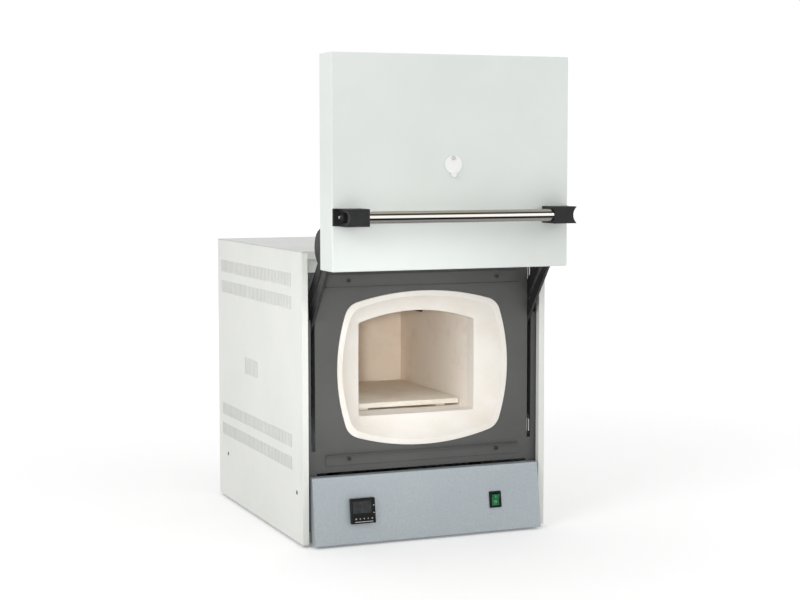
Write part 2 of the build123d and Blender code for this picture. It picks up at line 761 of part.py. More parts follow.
rocker_end = ROCKER_HEIGHT / 2
rocker_length = rocker_plane.y_dir.rotate(Axis.X, ROCKER_TILT)
rocker_side = Plane(origin=rocker_pivot, x_dir=rocker_length, z_dir=(1, 0, 0))
with BuildPart() as rocker:
    with BuildSketch(rocker_side.offset(-ROCKER_WIDTH / 2)):
        with BuildLine():
            ThreePointArc(
                (rocker_end, ROCKER_RISE),
                (0, ROCKER_RISE - ROCKER_DISH),
                (-rocker_end, ROCKER_RISE),
            )
            Polyline(
                (-rocker_end, ROCKER_RISE),
                (-rocker_end, 0),
                (0, -ROCKER_ROOT),
                (rocker_end, 0),
                (rocker_end, ROCKER_RISE),
            )
        make_face()
    extrude(amount=ROCKER_WIDTH)
    rod_across(
        rocker_pivot.Y,
        rocker_pivot.Z,
        fitting_x - pin_half,
        fitting_x + pin_half,
        ROCKER_PIN_RADIUS,
    )
save(rocker, "rocker")

# Collar: a bowed ceramic frame whose funnel narrows to the arched chamber mouth
funnel_mid_y = collar_face + FUNNEL_DEPTH * FUNNEL_MID_DEPTH
with BuildPart() as muffle_collar:
    with BuildSketch(facing(muffle_front)):
        add(screen(collar_rim))
    extrude(amount=COLLAR_DEPTH)
    with BuildSketch(facing(throat_y)):
        add(screen(chamber))
    with BuildSketch(facing(funnel_mid_y)):
        add(screen(between(FUNNEL_MID_BLEND)))
    with BuildSketch(facing(collar_face)):
        add(screen(between(0)))
    loft(mode=Mode.SUBTRACT)
    with BuildSketch(facing(muffle_front)):
        add(screen(chamber))
    extrude(amount=muffle_front - throat_y, mode=Mode.SUBTRACT)
save(muffle_collar, "muffle_collar")

# Muffle: an arched ceramic tunnel with a plugged rear end
muffle_rear = chamber_back + REAR_WALL
with BuildPart() as muffle_tube:
    with BuildSketch(facing(muffle_rear)):
        add(screen(chamber, MUFFLE_WALL))
        add(screen(chamber), mode=Mode.SUBTRACT)
    extrude(amount=muffle_rear - muffle_front - CERAMIC_GAP)
save(muffle_tube, "muffle_tube")

with BuildPart() as muffle_rear_plug:
    with BuildSketch(facing(muffle_rear)):
        add(screen(chamber, -CERAMIC_GAP))
        with Locations((0, FLUE_Z)):
            Circle(FLUE_RADIUS + CERAMIC_GAP, mode=Mode.SUBTRACT)
        with Locations((thermocouple_x, thermocouple_z)):
            Circle(THERMOCOUPLE_RADIUS + CERAMIC_GAP, mode=Mode.SUBTRACT)
    extrude(amount=REAR_WALL)
save(muffle_rear_plug, "muffle_rear_plug")

# Hearth plate, loose on the chamber floor, on two moulded runners
hearth_low = chamber.floor + CERAMIC_GAP
hearth_half = chamber.half_width - HEARTH_SIDE_GAP
hearth_front = plate_face + HEARTH_SETBACK
hearth_back = chamber_back - HEARTH_REAR_GAP
with BuildPart() as hearth_plate:
    block(
        -hearth_half,
        hearth_half,
        hearth_front,
        hearth_back,
        hearth_low + HEARTH_RUNNER,
        hearth_low + HEARTH_RUNNER + HEARTH_THICK,
    )
    fillet(hearth_plate.edges().filter_by(Axis.X).group_by(Axis.Y)[0], HEARTH_EDGE)
    for side in (-1, 1):
        runner = side * hearth_half * HEARTH_RUNNER_AT
        block(
            runner - HEARTH_THICK,
            runner + HEARTH_THICK,
            hearth_front + HEARTH_THICK,
            hearth_back - HEARTH_THICK,
            hearth_low,
            hearth_low + HEARTH_RUNNER,
        )
save(hearth_plate, "hearth_plate")

# Heating winding: flat turns round the muffle, joined along its floor
turn_inner = MUFFLE_WALL + WINDING_GAP
turn_outer = turn_inner + WINDING_WIRE
with BuildPart() as heating_winding:
    for turn in range(WINDING_TURNS):
        turn_back = muffle_front + WINDING_START + turn * WINDING_PITCH + WINDING_WIRE
        with BuildSketch(facing(turn_back)):
            add(screen(chamber, turn_outer))
            add(screen(chamber, turn_inner), mode=Mode.SUBTRACT)
        extrude(amount=WINDING_WIRE)
    block(
        -WINDING_WIRE,
        WINDING_WIRE,
        muffle_front + WINDING_START,
        muffle_front + WINDING_START + (WINDING_TURNS - 1) * WINDING_PITCH,
        chamber.floor - turn_outer,
        chamber.floor - turn_inner - WINDING_GAP,
    )
save(heating_winding, "heating_winding")

# Insulation boards round the muffle
nest_half = chamber.half_width + turn_outer + CERAMIC_GAP
nest_low = chamber.floor - turn_outer - CERAMIC_GAP
nest_high = chamber.top + turn_outer + CERAMIC_GAP
boards_front = muffle_front
boards_back = muffle_rear
insulation_back = muffle_rear + INSULATION_REAR
with BuildPart() as insulation_front:
    with BuildSketch(facing(boards_front - CERAMIC_GAP)):
        with Locations((0, (INSULATION_LOW + INSULATION_HIGH) / 2)):
            Rectangle(2 * insulation_half, INSULATION_HIGH - INSULATION_LOW)
        add(screen(collar_rim, CERAMIC_GAP), mode=Mode.SUBTRACT)
    extrude(amount=boards_front - plate_back - 2 * CERAMIC_GAP)
save(insulation_front, "insulation_front")

with BuildPart() as insulation_floor:
    block(-insulation_half, insulation_half, boards_front, boards_back, INSULATION_LOW, nest_low)
save(insulation_floor, "insulation_floor")

with BuildPart() as insulation_roof:
    block(-insulation_half, insulation_half, boards_front, boards_back, nest_high, INSULATION_HIGH)
save(insulation_roof, "insulation_roof")

with BuildPart() as insulation_sides:
    for side in (-1, 1):
        board = mirrored(side, nest_half, insulation_half)
        block(*board, boards_front, boards_back, nest_low + CERAMIC_GAP, nest_high - CERAMIC_GAP)
save(insulation_sides, "insulation_sides")

with BuildPart() as insulation_rear:
    with BuildSketch(facing(insulation_back)):
        with Locations((0, (INSULATION_LOW + INSULATION_HIGH) / 2)):
            Rectangle(2 * insulation_half, INSULATION_HIGH - INSULATION_LOW)
        with Locations((0, FLUE_Z)):
            Circle(FLUE_RADIUS + CERAMIC_GAP, mode=Mode.SUBTRACT)
        with Locations((thermocouple_x, thermocouple_z)):
            Circle(THERMOCOUPLE_RADIUS + CERAMIC_GAP, mode=Mode.SUBTRACT)
    extrude(amount=INSULATION_REAR - CERAMIC_GAP)
save(insulation_rear, "insulation_rear")

# Inner casing, a sheet box open at the front, and the channels that carry it
inner_half = insulation_half + CERAMIC_GAP + INNER_SHEET
inner_low = INSULATION_LOW - CERAMIC_GAP - INNER_SHEET
inner_high = INSULATION_HIGH + CERAMIC_GAP + INNER_SHEET
inner_back = insulation_back + CERAMIC_GAP + INNER_SHEET
with BuildPart() as inner_casing:
    block(-inner_half, inner_half, plate_back, inner_back, inner_low, inner_high)
    block(
        -inner_half + INNER_SHEET,
        inner_half - INNER_SHEET,
        plate_back,
        inner_back - INNER_SHEET,
        inner_low + INNER_SHEET,
        inner_high - INNER_SHEET,
        mode=Mode.SUBTRACT,
    )
    rod_back(0, FLUE_Z, insulation_back, inner_back, FLUE_RADIUS + CERAMIC_GAP, mode=Mode.SUBTRACT)
    rod_back(
        thermocouple_x,
        thermocouple_z,
        insulation_back,
        inner_back,
        THERMOCOUPLE_RADIUS + CERAMIC_GAP,
        mode=Mode.SUBTRACT,
    )
save(inner_casing, "inner_casing")

support_front = case_front + BODY_DEPTH + SUPPORT_WIDTH
tray_floor = case_low + SHEET
support_height = inner_low - tray_floor
support_mid_z = tray_floor + support_height / 2
with BuildPart() as support_channels:
    with BuildSketch(facing(inner_back)):
        with Locations((-support_x, support_mid_z), (support_x, support_mid_z)):
            Rectangle(SUPPORT_WIDTH, support_height)
            Rectangle(SUPPORT_WIDTH - 2 * SHEET, support_height - 2 * SHEET, mode=Mode.SUBTRACT)
    extrude(amount=inner_back - support_front)
save(support_channels, "support_channels")

# Rear services: flue tube, thermocouple, cable gland, terminal block and relay
with BuildPart() as flue_tube:
    rod_back(0, FLUE_Z, chamber_back, case_back + FLUE_OUT, FLUE_RADIUS)
    rod_back(0, FLUE_Z, chamber_back, case_back + FLUE_OUT, FLUE_BORE, mode=Mode.SUBTRACT)
save(flue_tube, "flue_tube")

with BuildPart() as thermocouple:
    rod_back(
        thermocouple_x,
        thermocouple_z,
        chamber_back - THERMOCOUPLE_IN,
        inner_back + SHEET,
        THERMOCOUPLE_RADIUS,
    )
    rod_back(thermocouple_x, thermocouple_z, inner_back, inner_back + GLAND_INSIDE, THERMOCOUPLE_HEAD)
save(thermocouple, "thermocouple")

with BuildPart() as cable_gland:
    with BuildSketch(facing(case_back + GLAND_REACH)):
        with Locations((gland_x, GLAND_Z)):
            RegularPolygon(GLAND_RADIUS, 6, major_radius=False)
    extrude(amount=GLAND_REACH, taper=-GLAND_TAPER)
    rod_back(gland_x, GLAND_Z, rear_inside - GLAND_INSIDE, case_back, GLAND_THREAD)
    rod_back(gland_x, GLAND_Z, rear_inside - GLAND_INSIDE / 2, rear_inside, GLAND_RADIUS)
    rod_back(
        gland_x,
        GLAND_Z,
        rear_inside - GLAND_INSIDE,
        case_back + GLAND_REACH,
        GLAND_BORE,
        mode=Mode.SUBTRACT,
    )
save(cable_gland, "cable_gland")

terminal_x = -(support_x + SUPPORT_WIDTH / 2 + inside_half) / 2
terminal_back = rear_inside - 2 * GLAND_INSIDE
with BuildPart() as terminal_block:
    block(
        terminal_x - TERMINAL_LENGTH / 2,
        terminal_x + TERMINAL_LENGTH / 2,
        terminal_back - TERMINAL_DEPTH,
        terminal_back,
        tray_floor,
        tray_floor + TERMINAL_HEIGHT,
    )
    with BuildSketch(Plane.XY.offset(tray_floor + TERMINAL_HEIGHT)):
        with Locations((terminal_x, terminal_back - TERMINAL_DEPTH / 2)):
            with GridLocations(TERMINAL_LENGTH / TERMINAL_WAYS, 0, TERMINAL_WAYS, 1):
                Circle(SCREW_HEAD)
    extrude(amount=-SCREW_REACH, mode=Mode.SUBTRACT)
save(terminal_block, "terminal_block")

with BuildPart() as solid_state_relay:
    block(
        -RELAY_LENGTH / 2,
        RELAY_LENGTH / 2,
        support_front,
        support_front + RELAY_DEPTH,
        tray_floor,
        tray_floor + RELAY_HEIGHT,
    )
    fillet(solid_state_relay.edges().filter_by(Axis.Z), FITTING_CORNER)
save(solid_state_relay, "solid_state_relay")


# Arm brackets behind the slots, each folded to a flange on the front plate
bracket_outer = arm_bracket_x + ARM_BRACKET_THICK
for side, name in ((-1, "arm_bracket_left"), (1, "arm_bracket_right")):
    web = mirrored(side, arm_bracket_x, bracket_outer)
    fold = mirrored(side, arm_bracket_x, bracket_outer + ARM_BRACKET_FLANGE)
    with BuildPart() as arm_bracket:
        with BuildSketch(beside(web[0])):
            with BuildLine():
                Polyline(
                    (plate_back, ARM_BRACKET_LOW),
                    (plate_back + ARM_BRACKET_DEPTH / 2, ARM_BRACKET_LOW),
                    (plate_back + ARM_BRACKET_DEPTH, guide_pivot[1] - ARM_BRACKET_DEPTH / 2),
                    (plate_back + ARM_BRACKET_DEPTH, ARM_BRACKET_HIGH),
                    (plate_back, ARM_BRACKET_HIGH),
                    close=True,
                )
            make_face()
            with Locations(guide_pivot, arm_pivot):
                Circle(PIN_RADIUS, mode=Mode.SUBTRACT)
        extrude(amount=ARM_BRACKET_THICK)
        fold_back = plate_back + ARM_BRACKET_THICK
        block(fold[0], fold[1], plate_back, fold_back, ARM_BRACKET_LOW, PLATE_SHOULDER - SHEET)
    save(arm_bracket, name)

# Pins that carry the links: head, shaft through the link, shoulder and seat
pin_head_low = arm_inner - SIDE_PLAY - PIN_HEAD
with BuildPart() as casing_pivot_pins:
    for side in (-1, 1):
        for pivot_y, pivot_z in (guide_pivot, arm_pivot):
            rod_across(pivot_y, pivot_z, *mirrored(side, pin_head_low, bracket_outer), PIN_RADIUS)
            rod_across(
                pivot_y, pivot_z, *mirrored(side, pin_head_low, pin_head_low + PIN_HEAD), PIN_HEAD_RADIUS
            )
            rod_across(
                pivot_y, pivot_z, *mirrored(side, arm_outer + SIDE_PLAY, arm_bracket_x), PIN_HEAD_RADIUS
            )
save(casing_pivot_pins, "casing_pivot_pins")

door_head_high = arm_outer + SIDE_PLAY + PIN_HEAD
with BuildPart() as door_pivot_pins:
    for side in (-1, 1):
        for pivot_y, pivot_z in (guide_tip, arm_tip):
            rod_across(pivot_y, pivot_z, *mirrored(side, door_bracket_x, door_head_high), PIN_RADIUS)
            rod_across(
                pivot_y, pivot_z, *mirrored(side, door_head_high - PIN_HEAD, door_head_high), PIN_HEAD_RADIUS
            )
            rod_across(
                pivot_y,
                pivot_z,
                *mirrored(side, door_bracket_outer, arm_inner - SIDE_PLAY),
                PIN_HEAD_RADIUS,
            )
save(door_pivot_pins, "door_pivot_pins")


def link_point(start, along, out):
    """Point beside a link: a share of its length and a distance to its upper rear side."""
    unit = (arm_run[0] / ARM_LENGTH, arm_run[1] / ARM_LENGTH)
    return (
        start[0] + arm_run[0] * along + unit[1] * out,
        start[1] + arm_run[1] * along - unit[0] * out,
    )


def guide_link(side):
    """Lower link of one side: a straight flat bar."""
    with BuildPart() as link:
        with BuildSketch(beside(mirrored(side, arm_inner, arm_outer)[0])):
            with Locations(guide_pivot, guide_tip):
                Circle(GUIDE_WIDTH / 2)
            make_hull()
            with Locations(guide_pivot):
                Circle(PIN_RADIUS + PIN_FIT, mode=Mode.SUBTRACT)
            with Locations(guide_tip):
                Circle(PIN_RADIUS + OPEN_PIN_FIT, mode=Mode.SUBTRACT)
        extrude(amount=ARM_THICK)
    return link


def lift_arm(side, tip_fit):
    """Upper link of one side: a swan-necked bar with a round lobe near the door."""
    lobe = link_point(arm_pivot, LOBE_ALONG, LOBE_OFFSET)
    neck = link_point(arm_pivot, NECK_ALONG, NECK_RADIUS - ARM_WIDTH / 2)
    below = link_point(arm_pivot, 1 / 2, ARM_FLAT - ARM_LENGTH / 2 - ARM_WIDTH / 2)
    with BuildPart() as link:
        with BuildSketch(beside(mirrored(side, arm_inner, arm_outer)[0])):
            with BuildSketch(mode=Mode.PRIVATE) as bar:
                with Locations(arm_pivot):
                    Circle(ARM_WIDTH / 2)
                with Locations(neck):
                    Circle(NECK_RADIUS)
                make_hull()
            with BuildSketch(mode=Mode.PRIVATE) as swell:
                with Locations(lobe):
                    Circle(LOBE_RADIUS)
                with Locations(arm_tip):
                    Circle(ARM_WIDTH / 2)
                make_hull()
            add(bar.sketch)
            add(swell.sketch)
            with Locations(Location((*below, 0), (0, 0, -ARM_OPEN))):
                Rectangle(2 * ARM_LENGTH, ARM_LENGTH, mode=Mode.SUBTRACT)
            with Locations(arm_pivot):
                Circle(PIN_RADIUS + PIN_FIT, mode=Mode.SUBTRACT)
            with Locations(arm_tip):
                Circle(PIN_RADIUS + tip_fit, mode=Mode.SUBTRACT)
        extrude(amount=ARM_THICK)
    return link


save(guide_link(-1), "guide_link_left")
save(guide_link(1), "guide_link_right")
save(lift_arm(-1, PIN_FIT), "lift_arm_left")
save(lift_arm(1, OPEN_PIN_FIT), "lift_arm_right")

# Door shell: a folded pan, open at the back, notched where the guide links pass
with BuildPart() as door_shell:
    with BuildSketch(facing(door_rim)):
        with Locations((0, door_mid_z)):
            Rectangle(2 * door_half, DOOR_HEIGHT)
    extrude(amount=DOOR_DEPTH)
    fillet(door_shell.edges().filter_by(Axis.Y), DOOR_EDGE_RADIUS)
    fillet(door_shell.faces().sort_by(Axis.Y)[0].edges(), DOOR_EDGE_RADIUS)
    block(
        -door_half + SHEET,
        door_half - SHEET,
        door_skin_back,
        door_rim,
        door_low + SHEET,
        door_high - SHEET,
        mode=Mode.SUBTRACT,
    )
    for side in (-1, 1):
        notch = mirrored(side, arm_x - SLOT_WIDTH / 2, arm_x + SLOT_WIDTH / 2)
        block(*notch, door_rim - DOOR_NOTCH_DEPTH, door_rim, door_low, door_low + SHEET, mode=Mode.SUBTRACT)
    rod_back(0, sight_z, door_front, door_skin_back, SIGHT_BORE, mode=Mode.SUBTRACT)
    rod_back(0, sight_z + RIVET_UP, door_front, door_skin_back, RIVET_RADIUS, mode=Mode.SUBTRACT)
save(door_shell, "door_shell")

# Door brackets inside the shell, folded to a foot on its bottom wall
door_plate_back = door_rim - DOOR_PLATE_INSET
door_plate_front = door_plate_back - SHEET
door_plate_half = door_bracket_x - DOOR_PLATE_GAP
bracket_foot = 2 * DOOR_BRACKET_MARGIN
for side, name in ((-1, "door_bracket_left"), (1, "door_bracket_right")):
    web = mirrored(side, door_bracket_x, door_bracket_outer)
    foot = mirrored(side, door_bracket_x - bracket_foot, door_bracket_outer)
    foot_low = door_low + SHEET
    web_back = guide_tip[0] + DOOR_BRACKET_MARGIN
    web_high = arm_tip[1] + 2 * DOOR_BRACKET_MARGIN
    with BuildPart() as door_bracket:
        with BuildSketch(beside(web[0])):
            with BuildLine():
                Polyline(
                    (door_skin_back, foot_low),
                    (web_back, foot_low),
                    (web_back, guide_tip[1] + DOOR_BRACKET_MARGIN),
                    (arm_tip[0] + DOOR_BRACKET_MARGIN, web_high),
                    (door_skin_back, web_high),
                    close=True,
                )
            make_face()
            with Locations(guide_tip, arm_tip):
                Circle(PIN_RADIUS, mode=Mode.SUBTRACT)
        extrude(amount=DOOR_BRACKET_THICK)
        foot_back = door_plate_front - CERAMIC_GAP
        block(foot[0], foot[1], door_skin_back, foot_back, foot_low, foot_low + DOOR_BRACKET_THICK)
    save(door_bracket, name)

# Back plate of the door, the ceramic plug that it holds and the board behind them
plug_root_y = door_plate_back - PLUG_ROOT
plug_shape = between(0)
with BuildPart() as door_back_plate:
    with BuildSketch(facing(door_plate_back)):
        with Locations((0, door_mid_z)):
            Rectangle(2 * door_plate_half, DOOR_HEIGHT - 2 * SHEET - 2 * SHEET_GAP)
        with Locations((0, lift_up)):
            add(screen(plug_shape, CERAMIC_GAP - PLUG_GAP), mode=Mode.SUBTRACT)
    extrude(amount=SHEET)
save(door_back_plate, "door_back_plate")

plug_face_y = collar_face + lift_back
plug_mid_y = funnel_mid_y + lift_back
plug_tip_y = plug_face_y + FUNNEL_DEPTH * PLUG_TIP
with BuildPart() as door_plug:
    with BuildSketch(facing(plug_face_y)):
        with Locations((0, lift_up)):
            add(screen(plug_shape, -PLUG_GAP))
    extrude(amount=plug_face_y - plug_root_y)
    with BuildSketch(facing(plug_face_y)):
        with Locations((0, lift_up)):
            add(screen(plug_shape, -PLUG_GAP))
    with BuildSketch(facing(plug_mid_y)):
        with Locations((0, lift_up)):
            add(screen(between(FUNNEL_MID_BLEND), -PLUG_GAP))
    with BuildSketch(facing(plug_tip_y)):
        with Locations((0, lift_up)):
            add(screen(between(funnel_share(PLUG_TIP)), -PLUG_GAP))
    loft()
    rod_back(0, sight_z, plug_root_y, plug_tip_y, SIGHT_TUBE + CERAMIC_GAP, mode=Mode.SUBTRACT)
save(door_plug, "door_plug")

board_half = door_bracket_x - CERAMIC_GAP - SHEET
board_low = door_low + SHEET + DOOR_BRACKET_THICK + CERAMIC_GAP
with BuildPart() as door_insulation:
    block(
        -board_half,
        board_half,
        door_skin_back + PIN_HEAD,
        door_plate_front - CERAMIC_GAP,
        board_low,
        door_high - SHEET - CERAMIC_GAP,
    )
    with BuildSketch(facing(door_plate_front)):
        with Locations((0, lift_up)):
            add(screen(plug_shape, CERAMIC_GAP - PLUG_GAP))
    extrude(amount=door_plate_front - plug_root_y + CERAMIC_GAP, mode=Mode.SUBTRACT)
    rod_back(0, sight_z, door_skin_back, door_rim, SIGHT_TUBE + CERAMIC_GAP, mode=Mode.SUBTRACT)
save(door_insulation, "door_insulation")

with BuildPart() as sight_tube:
    rod_back(0, sight_z, door_skin_back + PIN_HEAD, plug_tip_y, SIGHT_TUBE)
    rod_back(0, sight_z, door_skin_back + PIN_HEAD, plug_tip_y, SIGHT_BORE, mode=Mode.SUBTRACT)
save(sight_tube, "sight_tube")

# Sight hole cover, a disc with a grip that swings on a rivet above the hole
cover_back = door_front - COVER_STANDOFF
cover_front = cover_back - COVER_THICK
rivet_z = sight_z + RIVET_UP
with BuildPart() as sight_cover:
    with BuildSketch(facing(cover_back)):
        with Locations((0, sight_z)):
            Circle(COVER_RADIUS)
        with Locations((0, sight_z - GRIP_DOWN)):
            Circle(GRIP_RADIUS)
        with Locations((0, rivet_z)):
            Circle(RIVET_RADIUS + PIN_FIT, mode=Mode.SUBTRACT)
    extrude(amount=COVER_THICK)
    rod_back(0, sight_z - GRIP_DOWN, cover_front - GRIP_PROUD, cover_front, GRIP_RADIUS)
save(sight_cover, "sight_cover")

with BuildPart() as cover_rivet:
    rod_back(0, rivet_z, cover_front - COVER_STANDOFF, door_skin_back + SHEET, RIVET_RADIUS)
    rod_back(0, rivet_z, cover_front - COVER_STANDOFF - SHEET, cover_front - COVER_STANDOFF, RIVET_HEAD)
    rod_back(0, rivet_z, door_skin_back, door_skin_back + SHEET, RIVET_HEAD)
    fillet(cover_rivet.faces().sort_by(Axis.Y)[0].edges(), RIVET_EDGE)
save(cover_rivet, "cover_rivet")

# Handle: a steel tube between two moulded brackets with hollow ends
bracket_front = door_front - BRACKET_REACH
bracket_low = tube_z - BRACKET_HEIGHT / 2
bracket_root = door_half - BRACKET_INSET
bracket_tip = bracket_root - BRACKET_DRAFT
bracket_inner = bracket_root - BRACKET_LENGTH
hollow_x = bracket_tip + BRACKET_HOLLOW_RADIUS - BRACKET_HOLLOW_DEPTH
tube_half = bracket_inner + TUBE_INSERT
with BuildPart() as handle_tube:
    rod_across(tube_y, tube_z, -tube_half, tube_half, TUBE_RADIUS)
    rod_across(tube_y, tube_z, -tube_half, tube_half, TUBE_RADIUS - TUBE_WALL, mode=Mode.SUBTRACT)
save(handle_tube, "handle_tube")

pocket_y = door_front - POCKET_OUT
for side, name in ((-1, "handle_bracket_left"), (1, "handle_bracket_right")):
    with BuildPart() as handle_bracket:
        with BuildSketch(Plane.XY.offset(bracket_low)) as bracket_plan:
            with BuildLine():
                Polyline(
                    (side * bracket_inner, door_front),
                    (side * bracket_root, door_front),
                    (side * bracket_tip, bracket_front),
                    (side * bracket_inner, bracket_front),
                    close=True,
                )
            make_face()
            fillet(bracket_plan.vertices().group_by(Axis.Y)[0], BRACKET_CORNER)
        extrude(amount=BRACKET_HEIGHT)
        rod_back(
            side * hollow_x,
            tube_z,
            bracket_front,
            door_front - BRACKET_CORNER,
            BRACKET_HOLLOW_RADIUS,
            mode=Mode.SUBTRACT,
        )
        bore = mirrored(side, bracket_inner, tube_half + TUBE_FIT)
        rod_across(tube_y, tube_z, *bore, TUBE_RADIUS + TUBE_FIT, mode=Mode.SUBTRACT)
        with BuildSketch(beside(side * (tube_half + POCKET_WALL))):
            with Locations((pocket_y, tube_z)):
                RectangleRounded(POCKET_WIDTH, POCKET_HEIGHT, POCKET_CORNER)
        extrude(amount=side * BRACKET_REACH, mode=Mode.SUBTRACT)
    save(handle_bracket, name)
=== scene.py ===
"""Looks of the muffle furnace: finishes, small fittings, studio and camera."""
import json
import math

import bmesh
import bpy
from mathutils import Matrix, Vector


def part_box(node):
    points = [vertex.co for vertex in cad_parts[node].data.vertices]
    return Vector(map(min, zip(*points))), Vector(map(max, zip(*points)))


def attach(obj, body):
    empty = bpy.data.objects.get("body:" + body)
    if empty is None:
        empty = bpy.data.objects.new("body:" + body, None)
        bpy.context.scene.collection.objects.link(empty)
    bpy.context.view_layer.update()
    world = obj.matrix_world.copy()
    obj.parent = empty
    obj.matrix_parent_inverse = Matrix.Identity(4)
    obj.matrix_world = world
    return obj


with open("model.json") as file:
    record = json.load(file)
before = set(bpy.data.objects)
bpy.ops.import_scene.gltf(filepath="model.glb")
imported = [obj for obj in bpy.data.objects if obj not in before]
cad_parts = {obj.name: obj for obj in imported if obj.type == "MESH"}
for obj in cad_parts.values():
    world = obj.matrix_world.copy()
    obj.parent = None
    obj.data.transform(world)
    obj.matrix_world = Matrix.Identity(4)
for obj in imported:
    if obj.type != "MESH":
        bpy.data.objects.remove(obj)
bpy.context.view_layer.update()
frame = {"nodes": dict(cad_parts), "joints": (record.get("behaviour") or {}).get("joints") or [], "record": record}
nodes = frame["nodes"]
MM = 0.001

# Strength of the white world where it lights things; to the camera and in reflections it is 1
WORLD_LIGHT = 0.66

# Floor, in metres, with a glow to the camera that grows from near to far and shows it as white
FLOOR_SIZE = 40.0
FLOOR_SHADE = 0.94
FLOOR_ROUGHNESS = 0.9
NEAR_LIFT = 0.17
FAR_LIFT = 0.39
LIFT_START = 0.6
LIFT_END = 3.5

# Softboxes: place, side in metres and power in watts, all aimed at one point
LAMP_TARGET = (0.0, 0.0, 0.45)
LAMPS = {
    "key_light": ((-2.6, -1.8, 2.0), 1.6, 30.0),
    "fill_light": ((2.6, -2.2, 1.6), 2.0, 15.0),
    "top_light": ((0.0, 0.6, 3.2), 2.4, 10.0),
}

# Beam into the chamber: power in watts, width in degrees, lamp radius in metres
CHAMBER_LIGHT = 400.0
CHAMBER_BEAM = 6.0
CHAMBER_BEAM_BLEND = 0.6
CHAMBER_LAMP_RADIUS = 0.25
CHAMBER_LAMP_PLACE = (-1.2, -2.85, 0.65)

# Camera, solved from straight edges of the casing and the door; its place is in metres
IMAGE_WIDTH = 800
FOCAL_PIXELS = 1681.99
SENSOR_WIDTH = 36.0
CAMERA_X = -1.2460
CAMERA_AHEAD = 2.9218
CAMERA_Z = 0.7243
CAMERA_YAW = math.radians(22.18)
CAMERA_PITCH = math.radians(4.83)
CAMERA_ROLL = math.radians(-0.057)

# Places and directions read from the frame
case_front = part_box("side_panel_left")[0].y
press_joint = [joint for joint in frame["joints"] if joint["name"] == "key_1_press"][0]
panel_out = -Vector(press_joint["axis"])
collar_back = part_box("muffle_collar")[1].y
chamber_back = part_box("muffle_rear_plug")[0].y
FORWARD = Vector((0.0, -1.0, 0.0))
UP = Vector((0.0, 0.0, 1.0))

# Where the ray that finds a surface starts, and the gap across which corners count as one
AIM_FROM = 60 * MM
WELD = 0.001 * MM

# Fittings, in millimetres on the surface that carries them; each is sunk a little into it
SUNK = -0.1
ROUND_STEPS = 32

# Key symbols
DOT_RADIUS = 1.3
DOT_CORNERS = 24
ARROW_RADIUS = 1.6
SQUARE_RADIUS = 1.5
LEGEND_RISE = 0.12

# Controller: levels are above the housing's underside, insets from its sides; the long pale bar is painted
# highlight on its lower edge
HIGHLIGHT_AND_MARK_RISE = 0.2
HIGHLIGHT_LEVEL = 8
HIGHLIGHT_INSET = 6
HIGHLIGHT_HEIGHT = 1.1
PALE_MARK_LEVELS = (24, 38)
PALE_MARK_INSET = 3.4
PALE_MARK_SIZE = (2.6, 1.6)

# Rocker: insets are from its top and bottom edges
ROCKER_MARK_INSET = 6
ROCKER_MARK_RISE = 0.15
ON_MARK_SIZE = (1.2, 5.0)
OFF_MARK_OUTER = 2.5
OFF_MARK_INNER = 1.6

# Screws: the cross of painted shade that stands for the recess, and radii and heights round a domed socket head
RECESS_REACH = 2.6
RECESS_HALF = 0.6
RECESS_RISE = 0.05
BRACKET_SCREW = ((1.2, SUNK), (3.4, SUNK), (3.4, 0.9), (2.7, 1.7), (1.2, 2.0))

# Finishes: samples at a rounded edge, scale of the grain on each axis, and its darker tone
WHITE = (1.0, 1.0, 1.0, 1.0)
EDGE_SAMPLES = 6
ALONG_X = (0.02, 3.0, 3.0)
EVEN = (1.0, 1.0, 1.0)
FIBRE_RUN = (1.0, 1.0, 9.0)
GRAIN_SHADE = 0.86


def srgb(red, green, blue):
    """Linear colour of an 8-bit screen colour."""
    def linear(value):
        share = value / 255
        return share / 12.92 if share <= 0.04045 else ((share + 0.055) / 1.055) ** 2.4
    return (linear(red), linear(green), linear(blue), 1.0)


def mapped(tree, value, start, end, low, high):
    """A value mapped from one range to another, and held at its ends."""
    node = tree.nodes.new("ShaderNodeMapRange")
    node.inputs["From Min"].default_value = start
    node.inputs["From Max"].default_value = end
    node.inputs["To Min"].default_value = low
    node.inputs["To Max"].default_value = high
    tree.links.new(value, node.inputs["Value"])
    return node.outputs["Result"]


